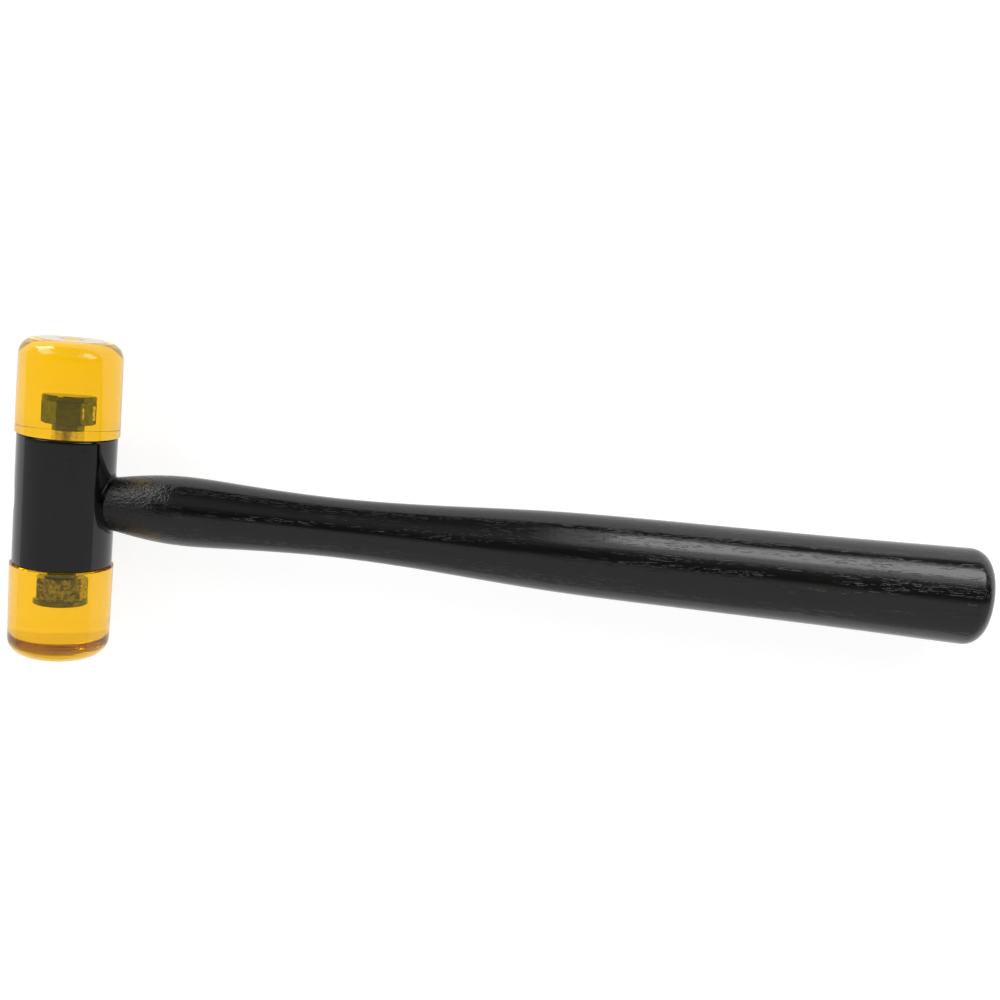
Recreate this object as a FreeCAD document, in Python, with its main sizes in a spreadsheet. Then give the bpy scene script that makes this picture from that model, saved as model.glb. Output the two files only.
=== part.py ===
import FreeCAD, Part
import os

import Sketcher
from FreeCAD import Placement, Rotation, Vector

# Soft-face hammer with two screw-on plastic tips, lying on its side. Millimetres.
#
# +X runs along the handle from the head to the butt, +Y along the head's axis to the upper tip, +Z up.
# The origin is the middle of the bounding box at floor level: the tips lie on the floor, and the
# head's axis and the handle's axis cross at the height of the tips' radius.
#
# Each sub-part is modelled about the point where those two axes cross, or, for the tips, their inserts
# and studs, along its own Z, which points outward from the head. Its Placement then puts it in the
# frame above. Distances called "station" are measured from the head's axis along the handle.

DIMENSIONS = [
    # Head body: a steel bar with a cross eye for the handle and a bore in each end for a stud.
    ("head_diameter", 29.2),
    ("head_length", 40.1),
    ("head_edge_round", 0.9),
    ("eye_straight_station", -4.0),
    ("eye_end_station", -15.5),
    ("eye_end_height", 17.6),
    # Stud: 1/4 in, 20 turns to the inch, its thread shown as a plain cylinder.
    ("stud_diameter", 6.35),
    ("stud_length", 19.05),
    ("stud_end_chamfer", 0.6),
    ("stud_depth_in_head", 9.2),
    ("head_bore_depth", 9.6),
    ("thread_clearance", 0.05),
    # Face tip: hard plastic, screwed against the end of the head body.
    ("seat_gap", 0.05),
    ("tip_base_diameter", 30.4),
    ("tip_length", 28.25),
    ("tip_draft", 0.37),
    ("tip_face_round", 5.1),
    ("tip_base_round", 0.5),
    ("tip_neck_hole", 6.45),
    ("dimple_diameter", 8.0),
    ("dimple_depth", 0.9),
    # Insert: a hexagon with a round collar at its closed end, moulded into the tip. When the tip is
    # screwed home the hexagon has turned this many degrees from having two corners along the handle.
    ("insert_turn", 19.0),
    ("insert_start", 3.4),
    ("insert_length", 8.6),
    ("insert_hex_corners", 10.8),
    ("collar_diameter", 10.6),
    ("collar_length", 1.8),
    ("insert_bore_depth", 7.2),
    # Handle: turned to an oval, depth (Z) being a fixed share of height (Y).
    ("section_ratio", 0.88),
    ("tenon_end_station", -12.1),
    ("butt_round", 6.4),
    # Kerf and wedges in the tenon's end.
    ("wedge_tip_station", 5.0),
    ("wood_wedge_thickness", 2.4),
    ("wood_wedge_tip_thickness", 0.5),
    ("wood_wedge_height", 16.4),
    ("wood_wedge_tip_height", 15.2),
    ("kerf_height", 20.0),
    ("steel_wedge_width", 8.0),
    ("steel_wedge_tip_width", 7.0),
    ("steel_wedge_thickness", 1.8),
    ("steel_wedge_tip_thickness", 0.4),
    ("steel_wedge_tip_station", -4.5),
]

# The handle's sections outside the head: name, station and height (Y).
HANDLE_SECTIONS = [
    ("neck", 14.8, 16.2),
    ("flare", 23.0, 19.0),
    ("swell", 34.0, 21.1),
    ("swell_end", 50.0, 20.3),
    ("waist", 81.0, 18.15),
    ("grip_start", 107.0, 19.6),
    ("palm", 147.0, 24.3),
    ("grip", 182.0, 26.0),
    ("grip_end", 235.0, 27.6),
    ("butt", 281.0, 29.9),
]

SHEET_NAME = "Dimensions"
OUTPUT_FOLDER = "parts"
TO_PLUS_Y = Rotation(Vector(1, 0, 0), -90)
TO_MINUS_Y = Rotation(Vector(1, 0, 0), 90)
# Starting size of a sketched shape, before its bound constraints drive it.
START = 10.0

doc = FreeCAD.newDocument("soft_face_hammer")
sheet = doc.addObject("Spreadsheet::Sheet", SHEET_NAME)


def fill_sheet():
    """Writes every driving dimension into the sheet, as a labelled row with an alias."""
    rows = list(DIMENSIONS)
    for name, station, height in HANDLE_SECTIONS:
        rows.append((name + "_station", station))
        rows.append((name + "_height", height))
    for row, (alias, value) in enumerate(rows, start=1):
        sheet.set(f"A{row}", alias)
        sheet.set(f"B{row}", str(value))
        sheet.setAlias(f"B{row}", alias)
    doc.recompute()


def bind(target, prop, formula):
    """Binds a property to a formula in which #alias stands for a dimension of the sheet."""
    target.setExpression(prop, formula.replace("#", SHEET_NAME + "."))


def new_body(label):
    body = doc.addObject("PartDesign::Body", label)
    body.Label = label
    return body


def origin_plane(body, role):
    return next(plane for plane in body.Origin.OriginFeatures if plane.Role == role)


def new_sketch(body, name, role, offset="0"):
    """Starts a sketch on one of the body's origin planes, offset along the plane's normal."""
    sketch = body.newObject("Sketcher::SketchObject", name)
    sketch.AttachmentSupport = [(origin_plane(body, role), "")]
    sketch.MapMode = "FlatFace"
    bind(sketch, "AttachmentOffset.Base.z", offset)
    return sketch


def constrain(sketch, *definition):
    return sketch.addConstraint(Sketcher.Constraint(*definition))


def drive(sketch, formula, *definition):
    """Adds a dimensional constraint and binds it to a formula."""
    index = constrain(sketch, *definition)
    bind(sketch, f"Constraints[{index}]", formula)


def circle_sketch(body, name, role, diameter, offset="0"):
    sketch = new_sketch(body, name, role, offset)
    sketch.addGeometry(Part.Circle(Vector(), Vector(0, 0, 1), START))
    constrain(sketch, "Coincident", 0, 3, -1, 1)
    drive(sketch, diameter, "Diameter", 0, 2 * START)
    return sketch


def oval_sketch(body, name, station, height):
    """An ellipse across the handle: height along Y, and the section ratio of it along Z."""
    sketch = new_sketch(body, name, "YZ_Plane", station)
    sketch.addGeometry(Part.Ellipse(Vector(), START, START * 0.8))
    constrain(sketch, "Coincident", 0, 3, -1, 1)
    sketch.exposeInternalGeometry(0)
    constrain(sketch, "Horizontal", 1)
    drive(sketch, height, "Distance", 1, 2 * START)
    drive(sketch, f"({height}) * #section_ratio", "Distance", 2, 1.6 * START)
    return sketch


def rectangle_sketch(body, name, station, height, depth):
    """A centred rectangle across the handle: height along Y, depth along Z."""
    sketch = new_sketch(body, name, "YZ_Plane", station)
    corners = [Vector(-START, -START), Vector(START, -START), Vector(START, START), Vector(-START, START)]
    for start, end in zip(corners, corners[1:] + corners[:1]):
        sketch.addGeometry(Part.LineSegment(start, end))
    for line in range(4):
        constrain(sketch, "Coincident", line, 2, (line + 1) % 4, 1)
        constrain(sketch, "Horizontal" if line % 2 == 0 else "Vertical", line)
    constrain(sketch, "Symmetric", 0, 1, 1, 2, -1, 1)
    drive(sketch, height, "DistanceX", 0, 1, 0, 2, 2 * START)
    drive(sketch, depth, "DistanceY", 1, 1, 1, 2, 2 * START)
    return sketch


def hexagon_sketch(body, name, corners, offset="0"):
    """A hexagon on the XY plane, turned by the insert's angle from having two corners on the X axis."""
    sketch = new_sketch(body, name, "XY_Plane", offset)
    bind(sketch, "AttachmentOffset.Rotation.Angle", "#insert_turn * 1 deg")
    around = [Rotation(Vector(0, 0, 1), 60 * turn).multVec(Vector(START, 0, 0)) for turn in range(6)]
    for start, end in zip(around, around[1:] + around[:1]):
        sketch.addGeometry(Part.LineSegment(start, end))
    guide = sketch.addGeometry(Part.Circle(Vector(), Vector(0, 0, 1), START), True)
    constrain(sketch, "Coincident", guide, 3, -1, 1)
    for line in range(6):
        constrain(sketch, "Coincident", line, 2, (line + 1) % 6, 1)
        constrain(sketch, "PointOnObject", line, 1, guide)
    for line in range(5):
        constrain(sketch, "Equal", line, line + 1)
    constrain(sketch, "PointOnObject", 0, 1, -1)
    drive(sketch, corners, "Diameter", guide, 2 * START)
    return sketch


def feature(body, kind, name, profile=None):
    made = body.newObject("PartDesign::" + kind, name)
    if profile is not None:
        made.Profile = profile
    return made


def extrude(body, kind, name, profile, length, middle=False, backward=False):
    """A Pad or Pocket. A Pocket that is not backward cuts against its sketch's normal."""
    made = feature(body, kind, name, profile)
    made.Midplane = middle
    made.Reversed = backward
    bind(made, "Length", length)
    return made


def loft(body, kind, name, sections, ruled=False):
    made = feature(body, kind, name, sections[0])
    made.Sections = sections[1:]
    made.Ruled = ruled
    return made


def edges_where(base, wanted):
    """Names of the base feature's edges whose every sampled point passes the test."""
    names = []
    for number, edge in enumerate(base.Shape.Edges, start=1):
        if all(wanted(point) for point in edge.discretize(9)):
            names.append(f"Edge{number}")
    return names


def dress(body, kind, name, base, wanted, prop, size):
    """A Fillet or Chamfer on the edges that pass the test."""
    doc.recompute()
    made = feature(body, kind, name)
    made.Base = (base, edges_where(base, wanted))
    bind(made, prop, size)
    return made


def place(body, rotation=Rotation(), outward="0"):
    """Puts a sub-part in the frame: outward is its distance from the handle's axis along Y."""
    body.Placement = Placement(Vector(), rotation)
    bind(body, "Placement.Base.x", "(#tip_base_diameter / 2 - #butt_station) / 2")
    bind(body, "Placement.Base.y", outward)
    bind(body, "Placement.Base.z", "#tip_base_diameter / 2")


def near(value, target):
    return abs(value - target) < 0.01


def size_of(alias):
    return float(sheet.get(alias))


EYE_SECTIONS = [
    ("mouth", "#head_diameter / 2 + 1", "#neck_height"),
    ("straight_end", "#eye_straight_station", "#neck_height"),
    ("far_end", "#eye_end_station", "#eye_end_height"),
]
# The tenon fills the eye, so its end has the height that the eye has there.
TENON_END_HEIGHT = (
    "#neck_height + (#eye_end_height - #neck_height)"
    " * (#tenon_end_station - #eye_straight_station) / (#eye_end_station - #eye_straight_station)"
)


def build_head_body():
    """Steel bar along Y, with an oval eye along X that flares at its far end, and a bore in each end."""
    body = new_body("head_body")
    bar_outline = circle_sketch(body, "bar_outline", "XZ_Plane", "#head_diameter")
    bar = extrude(body, "Pad", "bar", bar_outline, "#head_length", middle=True)
    dress(
        body, "Fillet", "end_rounds", bar, lambda p: near(abs(p.y), size_of("head_length") / 2),
        "Radius", "#head_edge_round",
    )
    sections = [oval_sketch(body, "eye_" + name, *size) for name, *size in EYE_SECTIONS]
    loft(body, "SubtractiveLoft", "eye", sections, ruled=True)
    # The XZ plane's normal is -Y, so the upper end is half a length behind the plane.
    bore_outline = circle_sketch(
        body, "bore_outline", "XZ_Plane", "#stud_diameter + 2 * #thread_clearance", "-#head_length / 2"
    )
    doc.recompute()
    bore = feature(body, "Hole", "stud_bore", bore_outline)
    bore.DepthType = "Dimension"
    bore.DrillPoint = "Flat"
    bore.Threaded = False
    bore.Reversed = True
    bind(bore, "Depth", "#head_bore_depth")
    bind(bore, "Diameter", "#stud_diameter + 2 * #thread_clearance")
    both = feature(body, "Mirrored", "both_bores")
    both.Originals = [bore]
    both.MirrorPlane = (origin_plane(body, "XZ_Plane"), [""])
    body.Tip = both
    place(body)
    return body


def build_face_tip(label, rotation, side):
    """Plastic tip along its own Z, base at 0: drafted, rounded at the face, hollow for the insert."""
    body = new_body(label)
    outline = circle_sketch(body, "base_outline", "XY_Plane", "#tip_base_diameter")
    block = extrude(body, "Pad", "block", outline, "#tip_length")
    bind(block, "TaperAngle", "-#tip_draft")
    face_edge = dress(
        body, "Fillet", "face_round", block, lambda p: near(p.z, size_of("tip_length")),
        "Radius", "#tip_face_round",
    )
    dress(body, "Fillet", "base_round", face_edge, lambda p: near(p.z, 0), "Radius", "#tip_base_round")

    neck = circle_sketch(body, "neck_outline", "XY_Plane", "#tip_neck_hole")
    extrude(body, "Pocket", "neck_hole", neck, "#insert_start", backward=True)
    hexagon = hexagon_sketch(body, "hexagon_outline", "#insert_hex_corners", "#insert_start")
    extrude(body, "Pocket", "hexagon_seat", hexagon, "#insert_length - #collar_length", backward=True)
    collar = circle_sketch(
        body, "collar_outline", "XY_Plane", "#collar_diameter",
        "#insert_start + #insert_length - #collar_length",
    )
    extrude(body, "Pocket", "collar_seat", collar, "#collar_length", backward=True)

    # The dimple is a shallow cap of a ball that dips into the striking face.
    ball_radius = "((#dimple_diameter / 2)^2 + #dimple_depth^2) / (2 * #dimple_depth)"
    dimple = feature(body, "SubtractiveSphere", "dimple")
    bind(dimple, "Radius", ball_radius)
    bind(dimple, "AttachmentOffset.Base.z", f"#tip_length - #dimple_depth + {ball_radius}")
    dimple.AttachmentSupport = [(origin_plane(body, "XY_Plane"), "")]
    dimple.MapMode = "FlatFace"
    place(body, rotation, f"{side} * (#head_length / 2 + #seat_gap)")
    return body


def build_insert(label, rotation, side):
    """Steel insert along its own Z, open end at 0: hexagon, then a round collar at the closed end."""
    body = new_body(label)
    hexagon = hexagon_sketch(body, "hexagon_outline", "#insert_hex_corners")
    extrude(body, "Pad", "hexagon", hexagon, "#insert_length - #collar_length")
    collar_outline = circle_sketch(
        body, "collar_outline", "XY_Plane", "#collar_diameter", "#insert_length - #collar_length"
    )
    extrude(body, "Pad", "collar", collar_outline, "#collar_length")
    bore = circle_sketch(body, "bore_outline", "XY_Plane", "#stud_diameter + 2 * #thread_clearance")
    extrude(body, "Pocket", "bore", bore, "#insert_bore_depth", backward=True)
    place(body, rotation, f"{side} * (#head_length / 2 + #seat_gap + #insert_start)")
    return body


def build_stud(label, rotation, side):
    """Threaded rod along its own Z, inner end at 0, chamfered at both ends."""
    body = new_body(label)
    outline = circle_sketch(body, "outline", "XY_Plane", "#stud_diameter")
    rod = extrude(body, "Pad", "rod", outline, "#stud_length")
    dress(
        body, "Chamfer", "end_chamfers", rod,
        lambda p: near(p.z, 0) or near(p.z, size_of("stud_length")),
        "Size", "#stud_end_chamfer",
    )
    place(body, rotation, f"{side} * (#head_length / 2 - #stud_depth_in_head)")
    return body


def kerf_sections(body, end_height, tip_height):
    """Sections of the wooden wedge or its kerf, which lie in the XY plane and thin towards the handle."""
    return [
        rectangle_sketch(body, "kerf_end", "#tenon_end_station", end_height, "#wood_wedge_thickness"),
        rectangle_sketch(body, "kerf_tip", "#wedge_tip_station", tip_height, "#wood_wedge_tip_thickness"),
    ]


def steel_wedge_sections(body):
    """Sections of the steel wedge, which crosses the wooden one at the middle of the tenon's end."""
    return [
        rectangle_sketch(
            body, "steel_wedge_end", "#tenon_end_station", "#steel_wedge_thickness", "#steel_wedge_width"
        ),
        rectangle_sketch(
            body, "steel_wedge_tip", "#steel_wedge_tip_station", "#steel_wedge_tip_thickness",
            "#steel_wedge_tip_width",
        ),
    ]


def build_handle():
    """Wooden handle: a tenon that fills the eye, then the turned length, with a rounded butt."""
    body = new_body("handle")
    tenon_sections = [
        oval_sketch(body, "tenon_neck", "#neck_station", "#neck_height"),
        oval_sketch(body, "tenon_straight_end", "#eye_straight_station", "#neck_height"),
        oval_sketch(body, "tenon_end", "#tenon_end_station", TENON_END_HEIGHT),
    ]
    loft(body, "AdditiveLoft", "tenon", tenon_sections, ruled=True)
    length_sections = [
        oval_sketch(body, "section_" + name, f"#{name}_station", f"#{name}_height")
        for name, _, _ in HANDLE_SECTIONS
    ]
    length = loft(body, "AdditiveLoft", "turned_length", length_sections)
    dress(
        body, "Fillet", "butt_rounding", length, lambda p: near(p.x, size_of("butt_station")),
        "Radius", "#butt_round",
    )
    loft(body, "SubtractiveLoft", "kerf", kerf_sections(body, "#kerf_height", "#kerf_height"), ruled=True)
    loft(body, "SubtractiveLoft", "steel_wedge_slot", steel_wedge_sections(body), ruled=True)
    place(body)
    return body


def build_wood_wedge():
    body = new_body("wood_wedge")
    sections = kerf_sections(body, "#wood_wedge_height", "#wood_wedge_tip_height")
    loft(body, "AdditiveLoft", "wedge", sections, ruled=True)
    loft(body, "SubtractiveLoft", "steel_wedge_slot", steel_wedge_sections(body), ruled=True)
    place(body)
    return body


def build_steel_wedge():
    body = new_body("steel_wedge")
    loft(body, "AdditiveLoft", "wedge", steel_wedge_sections(body), ruled=True)
    place(body)
    return body


def check(parts):
    """Stops the script if any object failed to compute or any sub-part is not one valid solid."""
    for item in doc.Objects:
        if "Invalid" in item.State or "Error" in item.State:
            raise RuntimeError(f"{item.Name} did not compute: {item.State}")
    for part in parts:
        shape = part.Shape
        if shape.isNull() or not shape.isValid() or len(shape.Solids) != 1:
            raise RuntimeError(f"{part.Label} is not one valid solid")


fill_sheet()
parts = [build_head_body(), build_handle(), build_wood_wedge(), build_steel_wedge()]
for name, rotation, side in (("upper", TO_PLUS_Y, 1), ("lower", TO_MINUS_Y, -1)):
    parts.append(build_face_tip(name + "_face_tip", rotation, side))
    parts.append(build_insert(name + "_tip_insert", rotation, side))
    parts.append(build_stud(name + "_stud", rotation, side))
doc.recompute()
check(parts)

os.makedirs(OUTPUT_FOLDER, exist_ok=True)
for part in parts:
    part.Shape.exportStep(os.path.join(OUTPUT_FOLDER, part.Label + ".step"))
    box = part.Shape.optimalBoundingBox(False)
    print(
        f"{part.Label:18s} volume {part.Shape.Volume:9.1f}"
        f"  x {box.XMin:8.2f} {box.XMax:8.2f}  y {box.YMin:7.2f} {box.YMax:7.2f}"
        f"  z {box.ZMin:6.2f} {box.ZMax:6.2f}"
    )
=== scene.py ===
import math

import bmesh
import bpy
import numpy as np
from mathutils import Matrix, Vector


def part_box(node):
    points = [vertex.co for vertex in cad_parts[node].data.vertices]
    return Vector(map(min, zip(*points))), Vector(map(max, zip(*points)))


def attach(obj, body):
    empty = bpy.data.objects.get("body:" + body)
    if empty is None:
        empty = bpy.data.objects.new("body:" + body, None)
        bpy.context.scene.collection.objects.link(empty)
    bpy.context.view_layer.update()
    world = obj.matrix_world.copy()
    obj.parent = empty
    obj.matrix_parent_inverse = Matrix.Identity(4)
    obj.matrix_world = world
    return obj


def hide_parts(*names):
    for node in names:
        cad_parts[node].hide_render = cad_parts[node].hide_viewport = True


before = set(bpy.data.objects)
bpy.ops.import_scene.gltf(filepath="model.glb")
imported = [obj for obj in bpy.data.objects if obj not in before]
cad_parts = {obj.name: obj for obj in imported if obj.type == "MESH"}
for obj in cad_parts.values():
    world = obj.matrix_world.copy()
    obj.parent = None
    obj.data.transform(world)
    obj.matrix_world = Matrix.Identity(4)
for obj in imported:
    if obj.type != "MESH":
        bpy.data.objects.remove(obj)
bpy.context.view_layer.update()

# Soft-face hammer, lying on its side. Metres, in the CAD frame: +X along the handle from the head to
# the butt, +Y along the head's axis to the upper tip, +Z up from the floor.

MM = 0.001

# ---- Places and sizes read from the frame ----

head_low, head_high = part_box("head_body")
HEAD_CENTRE = (head_low + head_high) / 2
HEAD_RADIUS = (head_high.x - head_low.x) / 2
HEAD_HALF = (head_high.y - head_low.y) / 2

tip_low, tip_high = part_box("upper_face_tip")
TIP_RADIUS = (tip_high.x - tip_low.x) / 2
TIP_LENGTH = tip_high.y - tip_low.y

insert_low, insert_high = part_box("upper_tip_insert")
INSERT_START = insert_low.y - tip_low.y
INSERT_LENGTH = insert_high.y - insert_low.y
COLLAR_RADIUS = (insert_high.x - insert_low.x) / 2

stud_low, stud_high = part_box("upper_stud")
STUD_RADIUS = (stud_high.x - stud_low.x) / 2
STUD_LENGTH = stud_high.y - stud_low.y

handle_low, handle_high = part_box("handle")
BUTT_STATION = handle_high.x - HEAD_CENTRE.x
TENON_END_STATION = handle_low.x - HEAD_CENTRE.x

# ---- Sizes of the CAD model that the frame's boxes don't give ----

HEAD_EDGE_ROUND = 0.9 * MM
BORE_RADIUS = 3.225 * MM
BORE_DEPTH = 9.6 * MM
EYE_STRAIGHT_STATION = -4.0 * MM
EYE_END_STATION = -15.5 * MM
EYE_END_HEIGHT = 17.6 * MM

TIP_DRAFT = math.radians(0.37)
TIP_FACE_ROUND = 5.1 * MM
DIMPLE_RADIUS = 4.0 * MM
DIMPLE_DEPTH = 0.9 * MM

HEX_CORNER_RADIUS = 5.4 * MM
HEX_TURN = math.radians(19)
COLLAR_LENGTH = 1.8 * MM
INSERT_BORE_DEPTH = 7.2 * MM

STUD_CHAMFER = 0.6 * MM

SECTION_RATIO = 0.88
BUTT_ROUND = 6.4 * MM
HANDLE_SECTIONS = [  # station from the head's axis and full height across, both in mm
    (14.8, 16.2),
    (23.0, 19.0),
    (34.0, 21.1),
    (50.0, 20.3),
    (81.0, 18.15),
    (107.0, 19.6),
    (147.0, 24.3),
    (182.0, 26.0),
    (235.0, 27.6),
    (281.0, 29.9),
]
NECK_STATION = HANDLE_SECTIONS[0][0] * MM
NECK_HEIGHT = HANDLE_SECTIONS[0][1] * MM

# The kerf and the wedges, as the two ends of a taper: station, height along Y, depth along Z.
WEDGE_TIP_STATION = 5.0 * MM
KERF = [(TENON_END_STATION, 20 * MM, 2.4 * MM), (WEDGE_TIP_STATION, 20 * MM, 0.5 * MM)]
WOOD_WEDGE = [(TENON_END_STATION, 16.4 * MM, 2.4 * MM), (WEDGE_TIP_STATION, 15.2 * MM, 0.5 * MM)]
STEEL_WEDGE = [(TENON_END_STATION, 1.8 * MM, 8.0 * MM), (-4.5 * MM, 0.4 * MM, 7.0 * MM)]

# ---- Details that only the visual model has ----

BORE_COUNTERSINK = 0.5 * MM
TIP_BASE_ROUND = 0.15 * MM  # sharper than the CAD model's
DIMPLE_LIP = 0.5 * MM
HAZE_FROM_FACE = (5.2 * MM, 3.4 * MM)  # where the worn haze starts and where it is full

INSERT_CHAMFER = 0.45 * MM
INSERT_CORNER_CUT = 1.3 * INSERT_CHAMFER  # how far in the hexagon's corners are turned off
COLLAR_FOOT_ROUND = 0.2 * MM
COLLAR_END_CHAMFER = 0.3 * MM

THREAD_PITCH = 1.27 * MM  # as in the couplings of the tips' joints
THREAD_DEPTH = 0.62 * MM
THREAD_FLAT = 0.1  # share of the pitch that is flat at the crest, and at the root
BRIGHT_SHANK = 1.5 * MM  # length of bright steel just outside the head body

PAINT_BEAD = 1.2 * MM  # how far the run of paint reaches along the neck and over the head
PAINT_BEAD_EDGE = 0.15 * MM  # its thickness where it ends on the neck
PAINT_BEAD_SUNK = 0.3 * MM  # how deep its hidden back lies in the head and in the neck
FROST_STATIONS = (24 * MM, 40 * MM)  # the frosted lacquer thins out between these

# Painted highlights: two upright streaks of bright mirror on a flat of the upper insert, standing for a gap
# where the plastic has let go of it; as angles round the insert in degrees and shares of the hexagon's
# length.
PAINTED_HIGHLIGHT_STREAKS = [(6, 15, 0.2, 0.85), (323, 329, 0.3, 0.75)]

SEGMENTS_ROUND_HANDLE = 160

# ---- Mesh helpers ----


def new_object(name, vertices, faces, material, smooth_angle=math.radians(35)):
    """A mesh object with outward normals, smooth but for edges sharper than the angle."""
    mesh = bpy.data.meshes.new(name)
    mesh.from_pydata([tuple(v) for v in vertices], [], faces)
    work = bmesh.new()
    work.from_mesh(mesh)
    bmesh.ops.remove_doubles(work, verts=work.verts, dist=1e-7)
    bmesh.ops.recalc_face_normals(work, faces=work.faces)
    work.to_mesh(mesh)
    work.free()
    made = bpy.data.objects.new(name, mesh)
    bpy.context.scene.collection.objects.link(made)
    made.data.materials.append(material)
    shade(made, smooth_angle)
    return made


def shade(thing, smooth_angle=math.radians(35)):
    thing.data.polygons.foreach_set("use_smooth", [True] * len(thing.data.polygons))
    thing.data.set_sharp_from_angle(angle=smooth_angle)


def spun(name, rows, material, segments=96, radius_at=None, smooth_angle=math.radians(35)):
    """A solid of revolution about Z. Rows are (radius, height); a radius of 0 is a pole.
    radius_at(radius, height, angle) may change the radius round the axis."""
    vertices, rings = [], []
    for radius, height in rows:
        if radius <= 0:
            rings.append([len(vertices)])
            vertices.append((0, 0, height))
            continue
        ring = []
        for step in range(segments):
            angle = 2 * math.pi * step / segments
            r = radius_at(radius, height, angle) if radius_at else radius
            ring.append(len(vertices))
            vertices.append((r * math.cos(angle), r * math.sin(angle), height))
        rings.append(ring)
    return new_object(name, vertices, ring_faces(rings), material, smooth_angle)


def ring_faces(rings):
    """Faces between neighbouring rings; a ring of one vertex is a pole."""
    faces = []
    for first, second in zip(rings, rings[1:]):
        count = max(len(first), len(second))
        for k in range(count):
            after = (k + 1) % count
            if len(first) == 1:
                faces.append((first[0], second[k], second[after]))
            elif len(second) == 1:
                faces.append((first[k], second[0], first[after]))
            else:
                faces.append((first[k], second[k], second[after], first[after]))
    return faces


def arc(centre_radius, centre_height, radius, start, end, steps):
    """Rows along an arc in the (radius, height) plane; angles in degrees from outward to up."""
    angles = np.radians(np.linspace(start, end, steps))
    return [(centre_radius + radius * math.cos(a), centre_height + radius * math.sin(a)) for a in angles]


def straight(start, end, steps):
    """Rows along a straight line, both ends left out."""
    return [tuple(np.array(start) + (np.array(end) - np.array(start)) * k / steps) for k in range(1, steps)]


def cut(thing, tool):
    """Takes the tool out of the thing, and removes the tool."""
    boolean = thing.modifiers.new("cut", "BOOLEAN")
    boolean.operation = "DIFFERENCE"
    boolean.solver = "EXACT"
    boolean.object = tool
    graph = bpy.context.evaluated_depsgraph_get()
    result = bpy.data.meshes.new_from_object(thing.evaluated_get(graph))
    thing.modifiers.clear()
    old = thing.data
    thing.data = result
    bpy.data.meshes.remove(old)
    bpy.data.objects.remove(tool)
    shade(thing)


def stand(thing, outward, distance):
    """Turns a thing made along its own Z so that it points outward along Y (1 or -1) from the head's axis,
    with its zero at that distance, and writes the place into its mesh."""
    turn = Matrix.Rotation(-outward * math.pi / 2, 4, "X")
    shift = Matrix.Translation(HEAD_CENTRE + Vector((0, outward * distance, 0)))
    thing.data.transform(shift @ turn)
    return thing


# ---- Material helpers ----


def map_range(tree, value, low, high, out_low, out_high):
    """Value rescaled smoothly from low..high to out_low..out_high."""
    node = tree.nodes.new("ShaderNodeMapRange")
    node.interpolation_type = "SMOOTHSTEP"
    tree.links.new(value, node.inputs["Value"])
    node.inputs["From Min"].default_value = low
    node.inputs["From Max"].default_value = high
    node.inputs["To Min"].default_value = out_low
    node.inputs["To Max"].default_value = out_high
    return node.outputs["Result"]


def math_node(tree, operation, first, second):
    node = tree.nodes.new("ShaderNodeMath")
    node.operation = operation
    for value, socket in ((first, node.inputs[0]), (second, node.inputs[1])):
        if isinstance(value, (int, float)):
            socket.default_value = value
        else:
            tree.links.new(value, socket)
    return node.outputs["Value"]


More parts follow.
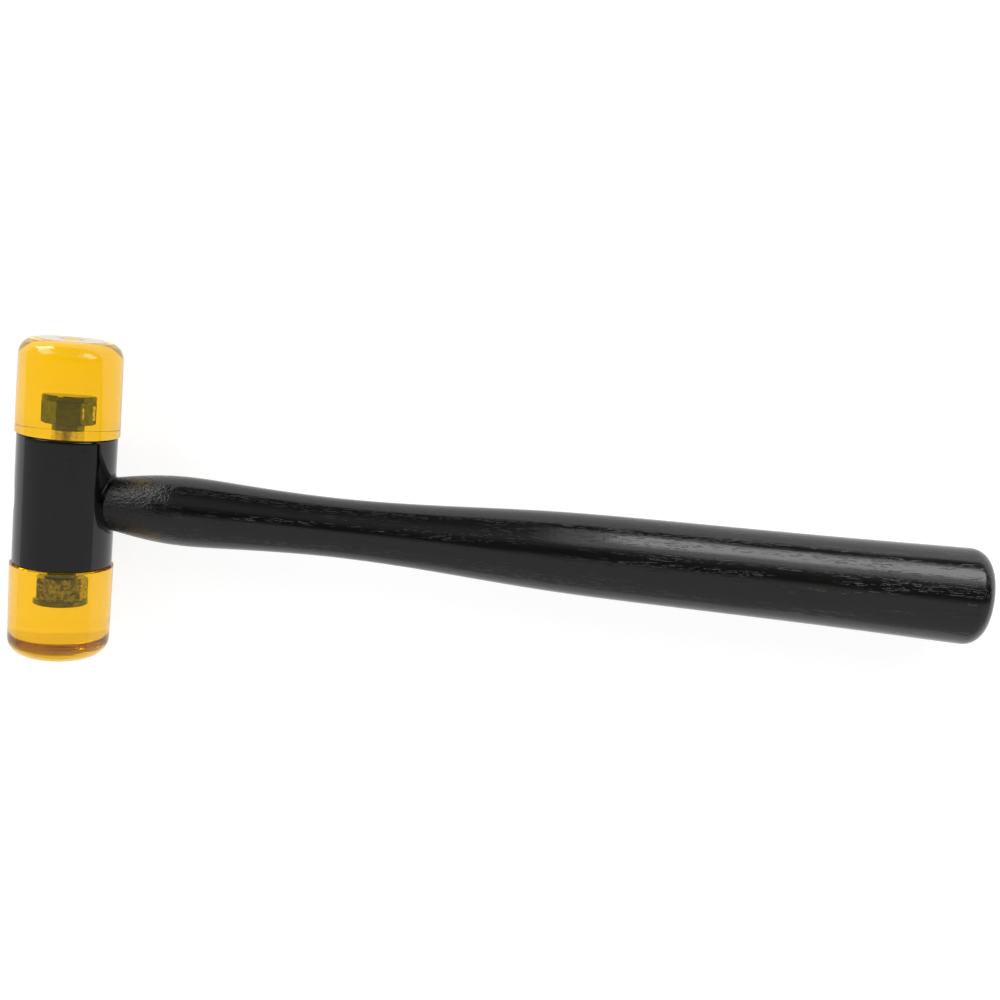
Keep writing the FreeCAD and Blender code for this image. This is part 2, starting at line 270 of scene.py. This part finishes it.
class Nodes:
    """Short names for the nodes of one material."""

    def __init__(self, name):
        self.material = bpy.data.materials.new(name)
        self.material.use_nodes = True
        self.tree = self.material.node_tree
        self.tree.nodes.clear()
        self.output = self.tree.nodes.new("ShaderNodeOutputMaterial")
        self.shader = self.tree.nodes.new("ShaderNodeBsdfPrincipled")
        self.link(self.shader.outputs["BSDF"], self.output.inputs["Surface"])
        self.place = self.tree.nodes.new("ShaderNodeTexCoord").outputs["Object"]

    def link(self, source, target):
        self.tree.links.new(source, target)

    def set(self, **values):
        for name, value in values.items():
            self.shader.inputs[name.replace("_", " ")].default_value = value

    def stretched(self, size, slant=0.0):
        """Object coordinates divided by a feature's size in metres along each axis, the feature's long
        axis slanted by some degrees about Z."""
        mapping = self.tree.nodes.new("ShaderNodeMapping")
        mapping.vector_type = "TEXTURE"
        mapping.inputs["Scale"].default_value = size
        mapping.inputs["Rotation"].default_value = (0, 0, math.radians(slant))
        self.link(self.place, mapping.inputs["Vector"])
        return mapping.outputs["Vector"]

    def noise(self, size, detail=3.0, roughness=0.5, distortion=0.0, slant=0.0):
        node = self.tree.nodes.new("ShaderNodeTexNoise")
        node.inputs["Scale"].default_value = 1.0
        node.inputs["Detail"].default_value = detail
        node.inputs["Roughness"].default_value = roughness
        node.inputs["Distortion"].default_value = distortion
        self.link(self.stretched(size, slant), node.inputs["Vector"])
        return node.outputs["Fac"]

    def cells(self, size, slant=0.0):
        """Distance to the nearest of scattered points, in units of the size."""
        node = self.tree.nodes.new("ShaderNodeTexVoronoi")
        node.inputs["Scale"].default_value = 1.0
        node.inputs["Randomness"].default_value = 1.0
        self.link(self.stretched(size, slant), node.inputs["Vector"])
        return node.outputs["Distance"]

    def between(self, value, low, high, out_low=0.0, out_high=1.0):
        return map_range(self.tree, value, low, high, out_low, out_high)

    def math(self, operation, first, second):
        return math_node(self.tree, operation, first, second)

    def axis(self, name):
        node = self.tree.nodes.new("ShaderNodeSeparateXYZ")
        self.link(self.place, node.inputs["Vector"])
        return node.outputs[name]

    def mix(self, factor, first, second):
        node = self.tree.nodes.new("ShaderNodeMix")
        node.data_type = "RGBA"
        self.link(factor, node.inputs["Factor"])
        for value, socket in ((first, node.inputs["A"]), (second, node.inputs["B"])):
            if isinstance(value, tuple):
                socket.default_value = (*value, 1.0)
            else:
                self.link(value, socket)
        return node.outputs["Result"]

    def colour(self, source):
        self.link(source, self.shader.inputs["Base Color"])

    def rough(self, source):
        self.link(source, self.shader.inputs["Roughness"])

    def bump(self, layers):
        """Stacks (height, distance in metres) layers of bump."""
        normal = None
        for height, distance in layers:
            node = self.tree.nodes.new("ShaderNodeBump")
            node.inputs["Strength"].default_value = 1.0
            node.inputs["Distance"].default_value = distance
            self.link(height, node.inputs["Height"])
            if normal is not None:
                self.link(normal, node.inputs["Normal"])
            normal = node.outputs["Normal"]
        self.link(normal, self.shader.inputs["Normal"])


def black_enamel():
    """Gloss black paint: faint orange peel, and fine dust that dulls it in places."""
    n = Nodes("black_enamel")
    n.set(Base_Color=(0.0015, 0.0015, 0.0015, 1), IOR=1.5)
    peel = n.noise((0.9 * MM,) * 3, detail=2)
    ripple = n.noise((5 * MM,) * 3, detail=1)
    dust = n.between(n.noise((3 * MM,) * 3, detail=5, roughness=0.7), 0.45, 0.8)
    n.rough(n.between(dust, 0, 1, 0.06, 0.22))
    n.bump([(ripple, 0.02 * MM), (peel, 0.002 * MM)])
    return n.material


def lacquered_wood():
    """Black lacquer over open-grained wood: long pores sunk through the film, in bands, finer towards
    the head, where the film is thin and frosted over the sanded wood."""
    n = Nodes("black_lacquered_wood")
    n.set(IOR=1.5)
    dashes = n.cells((7 * MM, 0.42 * MM, 0.42 * MM), slant=1)
    short_dashes = n.cells((3 * MM, 0.3 * MM, 0.3 * MM), slant=0.5)
    band = n.between(n.noise((60 * MM, 2.5 * MM, 2.5 * MM), detail=2, slant=1), 0.44, 0.6)
    pores = n.math("MULTIPLY", n.between(dashes, 0.2, 0.34, 1, 0), band)
    pores = n.math("MAXIMUM", pores, n.math("MULTIPLY", n.between(short_dashes, 0.16, 0.3, 0.6, 0), band))
    fibre = n.noise((9 * MM, 0.22 * MM, 0.22 * MM), detail=3, roughness=0.6)
    sanding = n.noise((0.45 * MM, 7 * MM, 7 * MM), detail=2)
    waves = n.noise((24 * MM, 5 * MM, 5 * MM), detail=1)
    frost_end = n.math("ADD", n.axis("X"), n.between(n.noise((4 * MM,) * 3), 0.2, 0.8, -4 * MM, 4 * MM))
    frost = n.between(frost_end, HEAD_CENTRE.x + FROST_STATIONS[0], HEAD_CENTRE.x + FROST_STATIONS[1], 1, 0)
    speckle = n.math("MULTIPLY", n.noise((0.9 * MM, 0.6 * MM, 0.6 * MM), detail=3), frost)
    n.colour(n.mix(fibre, (0.0045, 0.0045, 0.0045), (0.009, 0.0085, 0.008)))
    film = n.between(n.noise((9 * MM, 1.2 * MM, 1.2 * MM), detail=3), 0.3, 0.7, 0.1, 0.18)
    n.rough(n.math("ADD", film, n.math("MULTIPLY", frost, 0.06)))
    n.bump([
        (waves, 0.08 * MM),
        (sanding, 0.01 * MM),
        (fibre, 0.014 * MM),
        (speckle, 0.3 * MM),
        (n.math("SUBTRACT", 1.0, pores), 0.05 * MM),
    ])
    return n.material


def thick_paint():
    """The run of black paint in the corner between the neck and the head: uneven, less glossy."""
    n = Nodes("thick_black_paint")
    n.set(Base_Color=(0.001, 0.001, 0.001, 1), IOR=1.5, Specular_IOR_Level=0.15)
    lumps = n.noise((0.9 * MM,) * 3, detail=3, roughness=0.6)
    n.rough(n.between(lumps, 0.3, 0.7, 0.1, 0.3))
    n.bump([(lumps, 0.1 * MM)])
    return n.material


def end_grain():
    """Bare, stained end grain of the tenon: growth rings and open pores."""
    n = Nodes("end_grain")
    n.set(IOR=1.45)
    rings = n.noise((900 * MM, 1.1 * MM, 14 * MM), detail=2, distortion=0.4)
    pores = n.between(n.cells((0.7 * MM,) * 3), 0.18, 0.3, 1, 0)
    tone = n.mix(rings, (0.07, 0.042, 0.022), (0.17, 0.10, 0.05))
    n.colour(n.mix(pores, tone, (0.012, 0.008, 0.005)))
    n.rough(n.between(rings, 0.3, 0.7, 0.45, 0.7))
    n.bump([(n.math("SUBTRACT", 1.0, pores), 0.08 * MM), (rings, 0.05 * MM)])
    return n.material


def plain_wood():
    """Pale wood of the wedge."""
    n = Nodes("plain_wood")
    n.set(IOR=1.45)
    grain = n.noise((0.5 * MM, 0.35 * MM, 4 * MM), detail=3)
    n.colour(n.mix(grain, (0.30, 0.18, 0.09), (0.52, 0.36, 0.2)))
    n.rough(n.between(grain, 0.3, 0.7, 0.5, 0.7))
    n.bump([(grain, 0.04 * MM)])
    return n.material


def bare_steel(name, shade_low, shade_high, roughness, pits, stain_size=1.6 * MM):
    """Turned steel under a film of oil, with pits of the given depth."""
    n = Nodes(name)
    n.set(Metallic=1.0)
    stain = n.between(n.noise((stain_size,) * 3, detail=4, roughness=0.65), 0.3, 0.7)
    n.colour(n.mix(stain, shade_low, shade_high))
    n.rough(n.between(stain, 0, 1, roughness * 0.75, roughness * 1.25))
    turned = n.noise((4 * MM, 0.09 * MM, 4 * MM), detail=1)
    pitting = n.noise((0.45 * MM,) * 3, detail=3, roughness=0.6)
    n.bump([(turned, 0.006 * MM), (pitting, pits)])
    return n.material


def amber_plastic():
    """Clear amber plastic: a tint at its surface, absorption over the way that light goes through it, and
    a worn haze on the striking face."""
    clear, hazed = 0.96, 0.72  # shares of the light that the surface lets in
    tint, passed_colour, absorption_density = (1.0, 0.65, 0.03, 1), (1.0, 0.94, 0.0, 1), 80
    n = Nodes("amber_plastic")
    n.set(Base_Color=tint, IOR=1.49)
    from_middle = n.math("ABSOLUTE", n.axis("Y"), 0.0)
    haze_start, haze_full = (tip_high.y - distance for distance in HAZE_FROM_FACE)
    face = n.between(from_middle, haze_start, haze_full)
    n.link(n.between(face, 0, 1, clear, hazed), n.shader.inputs["Transmission Weight"])
    flow = n.noise((7 * MM, 10 * MM, 7 * MM), detail=1)
    scuffs = n.between(n.noise((2.5 * MM,) * 3, detail=6, roughness=0.7), 0.5, 0.8)
    n.rough(n.math("ADD", n.between(scuffs, 0, 1, 0.0, 0.06), n.math("MULTIPLY", face, 0.08)))
    n.bump([(flow, 0.05 * MM)])
    absorption = n.tree.nodes.new("ShaderNodeVolumeAbsorption")
    absorption.inputs["Color"].default_value = passed_colour
    absorption.inputs["Density"].default_value = absorption_density
    n.link(absorption.outputs["Volume"], n.output.inputs["Volume"])
    return n.material


def pale_floor():
    """A white table lit from inside as well as from above, so that shadows on it stay faint."""
    n = Nodes("pale_floor")
    n.set(Base_Color=(0.3, 0.3, 0.3, 1), Roughness=0.9, Specular_IOR_Level=0.0)
    n.set(Emission_Color=(1, 1, 1, 1), Emission_Strength=0.88)
    return n.material


ENAMEL = black_enamel()
LACQUER = lacquered_wood()
THICK_PAINT = thick_paint()
END_GRAIN = end_grain()
PLAIN_WOOD = plain_wood()
AMBER = amber_plastic()

# Shades from and to, roughness, depth of the pits and, where given, the size of the stains.
STEEL = bare_steel("bare_steel", (0.30, 0.29, 0.27), (0.55, 0.54, 0.51), 0.28, 0.01 * MM)
FACED_STEEL = bare_steel("faced_steel", (0.80, 0.79, 0.76), (0.9, 0.89, 0.86), 0.4, 0.01 * MM)
DARK_STEEL = bare_steel("insert_steel", (0.09, 0.125, 0.1), (0.17, 0.225, 0.18), 0.13, 0.006 * MM)
ROUGH_STEEL = bare_steel(
    "rough_insert_steel", (0.06, 0.075, 0.05), (0.5, 0.55, 0.42), 0.25, 0.07 * MM, 0.9 * MM
)
# Bright mirror for the painted highlight streaks on the upper insert.
PAINTED_HIGHLIGHT_MIRROR = bare_steel(
    "painted_highlight_mirror", (0.3, 0.32, 0.28), (0.95, 0.94, 0.9), 0.1, 0.01 * MM, 1.2 * MM
)

# ---- Head body ----


def half_height(station):
    """Half the height of the eye's or tenon's oval at a station inside the head."""
    share = (station - EYE_STRAIGHT_STATION) / (EYE_END_STATION - EYE_STRAIGHT_STATION)
    return (NECK_HEIGHT + max(0.0, share) * (EYE_END_HEIGHT - NECK_HEIGHT)) / 2


def oval_ring(station, half, segments):
    """Points of the handle's oval at a station: half its height along Y, the section's share along Z."""
    angles = 2 * np.pi * np.arange(segments) / segments
    x = np.full(segments, HEAD_CENTRE.x + station)
    return np.stack([x, half * np.cos(angles), HEAD_CENTRE.z + half * SECTION_RATIO * np.sin(angles)], 1)


def oval_solid(name, ovals, material, segments=128):
    """A closed solid through (station, half height) ovals, with flat ends."""
    vertices = np.concatenate([oval_ring(s, h, segments) for s, h in ovals])
    rings = [list(range(k * segments, (k + 1) * segments)) for k in range(len(ovals))]
    faces = ring_faces(rings) + [tuple(rings[0]), tuple(reversed(rings[-1]))]
    return new_object(name, vertices, faces, material)


def head_rows():
    """Outline of the head body from the floor of the upper bore, over the side, to the lower bore's."""
    flat_start = (BORE_RADIUS + BORE_COUNTERSINK, HEAD_HALF)
    flat_end = (HEAD_RADIUS - HEAD_EDGE_ROUND, HEAD_HALF)
    floor = HEAD_HALF - BORE_DEPTH
    upper = [(0, floor), (BORE_RADIUS, floor), (BORE_RADIUS, HEAD_HALF - BORE_COUNTERSINK), flat_start]
    upper += straight(flat_start, flat_end, 6)
    upper += arc(HEAD_RADIUS - HEAD_EDGE_ROUND, HEAD_HALF - HEAD_EDGE_ROUND, HEAD_EDGE_ROUND, 90, 0, 10)
    lower = [(radius, -height) for radius, height in reversed(upper)]
    return upper + straight(upper[-1], lower[0], 60) + lower


def bare_the_ends(body):
    """Leaves the head body's bores and its end faces, inside the edge round, unpainted."""
    body.data.materials.append(FACED_STEEL)
    just_below_bore = HEAD_HALF - BORE_DEPTH - 0.1 * MM
    for face in body.data.polygons:
        off_axis = math.hypot(face.center.x - HEAD_CENTRE.x, face.center.z - HEAD_CENTRE.z)
        if abs(face.center.y) > just_below_bore and off_axis < HEAD_RADIUS - HEAD_EDGE_ROUND:
            face.material_index = len(body.data.materials) - 1


def make_head_body():
    body = stand(spun("head_body_painted", head_rows(), ENAMEL, segments=240), 1, 0)
    past_side = HEAD_RADIUS + 2 * MM
    ovals = [(s, half_height(s)) for s in (-past_side, EYE_STRAIGHT_STATION, past_side)]
    cut(body, oval_solid("eye_tool", ovals, ENAMEL, segments=160))
    bare_the_ends(body)
    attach(body, "hammer")
    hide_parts("head_body")


def on_head(point):
    """How far along the handle the head body's side lies at a point's depth, from the head's axis."""
    return math.sqrt(HEAD_RADIUS**2 - point.z**2)


def bead_section(angle):
    """The bead's section at an angle round the neck: a hollow curve from the head body to the neck,
    closed by points sunk in both."""
    curve_steps = 8
    radial = Vector((0, math.cos(angle), SECTION_RATIO * math.sin(angle)))
    out = radial.normalized()
    foot = radial * (NECK_HEIGHT / 2)
    corner = Vector((on_head(foot), foot.y, foot.z))
    up_head = foot + out * PAINT_BEAD
    start = Vector((on_head(up_head), up_head.y, up_head.z))
    end = corner + Vector((PAINT_BEAD, 0, 0)) + out * PAINT_BEAD_EDGE
    section = []
    for k in range(curve_steps + 1):
        t = k / curve_steps
        section.append(start * (1 - t) ** 2 + corner * 2 * t * (1 - t) + end * t**2)
    into_head = Vector((PAINT_BEAD_SUNK, 0, 0))
    under_neck = end - out * 2 * PAINT_BEAD_SUNK
    return section + [under_neck, corner - out * PAINT_BEAD_SUNK - into_head, start - into_head]


def make_paint_bead():
    """Paint that has run into the corner where the neck meets the head: a concave ring round the neck."""
    segments = 128
    vertices, rings = [], []
    for step in range(segments):
        section = bead_section(2 * math.pi * step / segments)
        rings.append(list(range(len(vertices), len(vertices) + len(section))))
        vertices += [HEAD_CENTRE + point for point in section]
    faces = ring_faces(rings + [rings[0]])
    bead = new_object("neck_paint_bead", vertices, faces, THICK_PAINT, math.radians(60))
    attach(bead, "hammer")


# ---- Handle and wedges ----


def spline_heights(stations):
    """Half heights of the turned length at the stations: a natural cubic spline through its sections."""
    x, y = np.array(HANDLE_SECTIONS).T * MM
    y = y / 2
    count = len(x)
    step = np.diff(x)
    system = np.eye(count)
    right = np.zeros(count)
    for k in range(1, count - 1):
        system[k, k - 1 : k + 2] = step[k - 1], 2 * (step[k - 1] + step[k]), step[k]
        right[k] = 6 * ((y[k + 1] - y[k]) / step[k] - (y[k] - y[k - 1]) / step[k - 1])
    bend = np.linalg.solve(system, right)
    k = np.clip(np.searchsorted(x, stations) - 1, 0, count - 2)
    left, gap = stations - x[k], x[k + 1] - stations
    return (
        (bend[k] * gap**3 + bend[k + 1] * left**3) / (6 * step[k])
        + (y[k] / step[k] - bend[k] * step[k] / 6) * gap
        + (y[k + 1] / step[k] - bend[k + 1] * step[k] / 6) * left
    )


def taper_solid(name, ends, material):
    """A wedge between two rectangles, each (station, height along Y, depth along Z)."""
    vertices = []
    for station, height, depth in ends:
        for across, up in ((-1, -1), (1, -1), (1, 1), (-1, 1)):
            vertices.append(HEAD_CENTRE + Vector((station, across * height / 2, up * depth / 2)))
    faces = ring_faces([[0, 1, 2, 3], [4, 5, 6, 7]]) + [(3, 2, 1, 0), (4, 5, 6, 7)]
    return new_object(name, vertices, faces, material)


def longer(ends, extra=0.5 * MM):
    """The same taper, carried on past its outer end so that it cuts cleanly through a face."""
    (start, height, depth), (end, end_height, end_depth) = ends
    share = extra / (end - start)
    outer = (start - extra, height + (height - end_height) * share, depth + (depth - end_depth) * share)
    return [outer, ends[1]]


def butt_rings(round_start):
    """Rings of the butt's rounding: each shrinks by the same distance all round, and the taper of the
    grip dies out over the rounding's turn."""
    half = float(spline_heights(np.array([round_start]))[0])
    slope = (float(spline_heights(np.array([BUTT_STATION]))[0]) - half) / BUTT_ROUND
    angles = 2 * np.pi * np.arange(SEGMENTS_ROUND_HANDLE) / SEGMENTS_ROUND_HANDLE
    wide, deep = half, half * SECTION_RATIO
    oval = np.stack([wide * np.cos(angles), deep * np.sin(angles)], 1)
    normal = np.stack([deep * np.cos(angles), wide * np.sin(angles)], 1)
    normal /= np.linalg.norm(normal, axis=1)[:, None]
    rings = []
    for turn in np.radians(np.linspace(0, 90, 16)):
        along = BUTT_ROUND * math.sin(turn)
        growth = slope * along * (1 - turn / (math.pi / 2))
        section = oval - normal * (BUTT_ROUND * (1 - math.cos(turn)) - growth)
        ring = np.empty((SEGMENTS_ROUND_HANDLE, 3))
        ring[:, 0] = HEAD_CENTRE.x + round_start + along
        ring[:, 1] = section[:, 0]
        ring[:, 2] = HEAD_CENTRE.z + section[:, 1]
        rings.append(ring)
    return rings


def handle_rings():
    """Rings from the tenon's end through the eye and along the grip to the middle of the butt."""
    inside = np.linspace(TENON_END_STATION, NECK_STATION, 30)
    ovals = [(s, half_height(s)) for s in inside[:-1]]
    round_start = BUTT_STATION - BUTT_ROUND
    ring_spacing = 1.0 * MM
    grip = np.arange(NECK_STATION, round_start, ring_spacing)
    ovals += list(zip(grip, spline_heights(grip)))
    return [oval_ring(s, h, SEGMENTS_ROUND_HANDLE) for s, h in ovals] + butt_rings(round_start)


def make_handle():
    rings = handle_rings()
    count = SEGMENTS_ROUND_HANDLE
    index = [list(range(k * count, (k + 1) * count)) for k in range(len(rings))]
    faces = ring_faces(index) + [tuple(index[0]), tuple(reversed(index[-1]))]
    handle = new_object("handle_lacquered", np.concatenate(rings), faces, LACQUER)
    handle.data.materials.append(END_GRAIN)
    just_inside_end = HEAD_CENTRE.x + TENON_END_STATION + 0.01 * MM
    for face in handle.data.polygons:
        if face.center.x < just_inside_end:
            face.material_index = 1
    cut(handle, taper_solid("kerf_tool", longer(KERF), END_GRAIN))
    cut(handle, taper_solid("steel_slot_tool", longer(STEEL_WEDGE), END_GRAIN))
    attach(handle, "hammer")
    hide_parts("handle")


def make_wedges():
    wood = taper_solid("wood_wedge_grained", WOOD_WEDGE, PLAIN_WOOD)
    cut(wood, taper_solid("wedge_slot_tool", longer(STEEL_WEDGE), PLAIN_WOOD))
    steel = taper_solid("steel_wedge_bare", STEEL_WEDGE, STEEL)
    for wedge, node, slot in ((wood, "wood_wedge", "plain_wood"), (steel, "steel_wedge", "bare_steel")):
        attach(wedge, "hammer")
        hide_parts(node)


# ---- Face tips, inserts and studs ----


def tip_rows():
    """Outline of a face tip from the middle of its base, over the outside, to the middle of its dimple. The
    insert and the stud are moulded in, so the plastic has no surface of its own against them."""
    rows = [(0, 0)]
    rows += straight(rows[-1], (TIP_RADIUS - TIP_BASE_ROUND, 0), 12)
    rows += arc(TIP_RADIUS - TIP_BASE_ROUND, TIP_BASE_ROUND, TIP_BASE_ROUND, -90, 0, 8)
    face_radius = TIP_RADIUS - math.tan(TIP_DRAFT) * TIP_LENGTH
    shoulder = (face_radius, TIP_LENGTH - TIP_FACE_ROUND)
    rows += straight(rows[-1], shoulder, 24)
    rows += arc(face_radius - TIP_FACE_ROUND, TIP_LENGTH - TIP_FACE_ROUND, TIP_FACE_ROUND, 0, 90, 24)
    # The dimple: a rounded lip into a bowl, as a half cosine.
    reach = DIMPLE_RADIUS + DIMPLE_LIP
    rows += straight(rows[-1], (reach, TIP_LENGTH), 8)
    dimple_steps = 20
    for step in range(dimple_steps):
        share = 1 - step / dimple_steps
        rows.append((reach * share, TIP_LENGTH - DIMPLE_DEPTH * (1 + math.cos(math.pi * share)) / 2))
    rows.append((0, TIP_LENGTH - DIMPLE_DEPTH))
    return rows


def hexagon_radius(angle):
    """Radius of the insert's hexagon, turned from having corners on the X axis."""
    apothem = HEX_CORNER_RADIUS * math.cos(math.pi / 6)
    off_flat = ((angle - HEX_TURN) % (math.pi / 3)) - math.pi / 6
    return apothem / math.cos(off_flat)


def insert_rows(hex_end):
    """Outline of an insert from the floor of its bore, over its open end and its side, to the middle of
    its closed end."""
    rows = [(0, INSERT_BORE_DEPTH), (BORE_RADIUS, INSERT_BORE_DEPTH), (BORE_RADIUS, INSERT_CHAMFER)]
    rows += [(BORE_RADIUS + INSERT_CHAMFER, 0)]
    corner_steps = 6
    for step in range(corner_steps + 1):
        share = step / corner_steps
        rows.append((HEX_CORNER_RADIUS - INSERT_CORNER_CUT * (1 - share), INSERT_CHAMFER * share))
    rows += straight(rows[-1], (HEX_CORNER_RADIUS, hex_end), 12)
    ledge = 0.01 * MM  # keeps the hexagon's last ring and the collar's first one apart
    rows += [(HEX_CORNER_RADIUS, hex_end - ledge), (COLLAR_RADIUS - COLLAR_FOOT_ROUND, hex_end + ledge)]
    rows += [(COLLAR_RADIUS, hex_end + COLLAR_FOOT_ROUND)]
    rows += [(COLLAR_RADIUS, INSERT_LENGTH - COLLAR_END_CHAMFER)]
    return rows + [(COLLAR_RADIUS - COLLAR_END_CHAMFER, INSERT_LENGTH), (0, INSERT_LENGTH)]


# Whether a face lies in one of the upper insert's painted highlight streaks.
def in_painted_highlight(face, hex_end):
    angle = math.degrees(math.atan2(face.center.y, face.center.x)) % 360
    share = face.center.z / hex_end
    return any(a < angle < b and low < share < high for a, b, low, high in PAINTED_HIGHLIGHT_STREAKS)


def make_insert(name, material, outward, distance):
    """Hexagon with turned-off corners, then a round collar; bored from its open end at zero."""
    hex_end = INSERT_LENGTH - COLLAR_LENGTH
    bore_mouth = BORE_RADIUS + INSERT_CHAMFER

    def radius_at(radius, height, angle):
        if radius <= bore_mouth or height > hex_end:
            return radius
        return min(radius, hexagon_radius(angle))

    insert = spun(name, insert_rows(hex_end), material, segments=120, radius_at=radius_at)
    insert.data.materials.append(DARK_STEEL)
    # The third material paints highlight streaks on the upper insert.
    insert.data.materials.append(PAINTED_HIGHLIGHT_MIRROR)
    for face in insert.data.polygons:
        outside = math.hypot(face.center.x, face.center.y) > bore_mouth
        if face.center.z > hex_end:
            face.material_index = 1
        elif outward > 0 and outside and in_painted_highlight(face, hex_end):
            face.material_index = 2
    return stand(insert, outward, distance)


def make_stud(name, outward, distance):
    """Threaded rod, plain between the head body and the insert. Its radius follows a helix."""
    rows_per_turn = 10
    count = int(STUD_LENGTH / THREAD_PITCH * rows_per_turn)
    shank_start = HEAD_HALF - stud_low.y
    shank_end = tip_low.y + INSERT_START - stud_low.y

    def radius_at(radius, height, angle):
        phase = (height / THREAD_PITCH - angle / (2 * math.pi)) % 1
        from_crest = abs(2 * phase - 1)
        flank = (from_crest - THREAD_FLAT) / (1 - 2 * THREAD_FLAT)
        depth = THREAD_DEPTH * min(1.0, max(0.0, flank))
        if shank_start < height < shank_end:
            depth = 0
        thread = STUD_RADIUS - depth
        from_end = min(height, STUD_LENGTH - height)
        return min(thread, STUD_RADIUS - STUD_CHAMFER + from_end)

    rows = [(0, 0)]
    rows += [(STUD_RADIUS, STUD_LENGTH * k / count) for k in range(count + 1)]
    rows += [(0, STUD_LENGTH)]
    stud = spun(name, rows, DARK_STEEL, 64, radius_at, math.radians(80))
    stud.data.materials.append(FACED_STEEL)
    for face in stud.data.polygons:
        if shank_start < face.center.z < shank_start + BRIGHT_SHANK:
            face.material_index = 1
    return stand(stud, outward, distance)


def make_tip(side, outward, insert_material):
    base = tip_low.y
    tip = stand(spun(side + "_face_tip_clear", tip_rows(), AMBER, segments=192), outward, base)
    insert = make_insert(side + "_insert_hexagon", insert_material, outward, base + INSERT_START)
    stud = make_stud(side + "_stud_threaded", outward, stud_low.y)
    rides = (
        (tip, side + "_tip", side + "_face_tip", "amber_plastic"),
        (insert, side + "_tip", side + "_tip_insert", "bare_steel"),
        (stud, side + "_screw", side + "_stud", "bare_steel"),
    )
    for piece, body, node, slot in rides:
        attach(piece, body)
        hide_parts(node)


# ---- Floor, light and camera ----


def make_floor():
    half = 4.0
    corners = [(-half, -half, 0), (half, -half, 0), (half, half, 0), (-half, half, 0)]
    floor = new_object("floor", corners, [(0, 1, 2, 3)], pale_floor())


def soft_box(name, place, aim, width, height, radiance):
    """A soft box that faces the aim; both points are measured from the floor under the head's axis."""
    data = bpy.data.lights.new(name, "AREA")
    data.shape = "RECTANGLE"
    data.size, data.size_y = width, height
    data.energy = radiance * math.pi * width * height
    light = bpy.data.objects.new(name, data)
    bpy.context.scene.collection.objects.link(light)
    back = Vector(place) - Vector(aim)
    light.location = Vector((HEAD_CENTRE.x, HEAD_CENTRE.y, 0)) + Vector(place)
    light.rotation_mode = "QUATERNION"
    light.rotation_quaternion = back.to_track_quat("Z", "Y")


# The tent's radiance as ramps over a direction's Y, each from, to and the value at both. Two sides rise
# from a dark slit over the object, where the camera stands, and the upper side falls off to its horizon.
LOWER_SIDE = (-0.18, -0.01, 0.59, 0.0)
UPPER_SIDE = (0.2, 0.5, 0.01, 0.29)
UPPER_HORIZON = (0.6, 0.92, 0.0, -0.26)
# The same over a direction's X: past the head, away from the handle, it is at least this bright.
PAST_HEAD = (-0.75, -0.45, 0.36, 0.0)


def make_world():
    """A dim tent, even on the side of the lower tip."""
    world = bpy.data.worlds.new("studio")
    bpy.context.scene.world = world
    world.use_nodes = True
    tree = world.node_tree
    place = tree.nodes.new("ShaderNodeTexCoord")
    split = tree.nodes.new("ShaderNodeSeparateXYZ")
    tree.links.new(place.outputs["Generated"], split.inputs["Vector"])
    across, along = split.outputs["Y"], split.outputs["X"]
    sides = map_range(tree, across, *LOWER_SIDE)
    for ramp in (UPPER_SIDE, UPPER_HORIZON):
        sides = math_node(tree, "ADD", sides, map_range(tree, across, *ramp))
    strength = math_node(tree, "MAXIMUM", sides, map_range(tree, along, *PAST_HEAD))
    background = tree.nodes["Background"]
    tree.links.new(strength, background.inputs["Strength"])
    background.inputs["Color"].default_value = (1, 1, 1, 1)


# Name, place, aim, width and height in metres, and radiance.
SOFT_BOXES = [
    ("right_soft_box", (0.35, 0.215, 0.16), (0.35, 0, 0), 0.34, 0.115, 3.8),
    ("right_soft_box_glow", (0.35, 0.22, 0.19), (0.35, 0, 0), 0.42, 0.22, 1.3),
    ("left_soft_box", (-0.36, 0.36, 0.36), (0, 0, 0), 0.26, 0.3, 3.5),
    ("left_low_soft_box", (-0.34, 0.48, 0.13), (0, 0, 0), 0.3, 0.2, 8.0),
]


def make_light():
    make_world()
    for box in SOFT_BOXES:
        soft_box(*box)
    bpy.context.scene.view_settings.view_transform = "Standard"


# The photograph's view: the head's centre in the camera's own axes, then the camera's turns.
HEAD_IN_CAMERA = Vector((-0.1322, 0.0005, -0.3859))
CAMERA_ROLL = math.radians(-6.17)
CAMERA_PITCH = math.radians(10.17)
CAMERA_YAW = math.radians(-0.08)
FOCAL_OVER_WIDTH = 1.27


def make_camera():
    data = bpy.data.cameras.new("camera")
    data.sensor_width = 36
    data.lens = FOCAL_OVER_WIDTH * data.sensor_width
    camera = bpy.data.objects.new("camera", data)
    bpy.context.scene.collection.objects.link(camera)
    turn = (
        Matrix.Rotation(CAMERA_ROLL, 4, "Z")
        @ Matrix.Rotation(CAMERA_PITCH, 4, "X")
        @ Matrix.Rotation(CAMERA_YAW, 4, "Y")
    )
    to_camera = Matrix.Translation(HEAD_IN_CAMERA) @ turn @ Matrix.Translation(-HEAD_CENTRE)
    camera.matrix_world = to_camera.inverted()
    bpy.context.scene.camera = camera


make_camera()
make_light()
make_floor()
make_head_body()
make_paint_bead()
make_handle()
make_wedges()
make_tip("upper", 1, DARK_STEEL)
make_tip("lower", -1, ROUGH_STEEL)

bpy.context.view_layer.update()
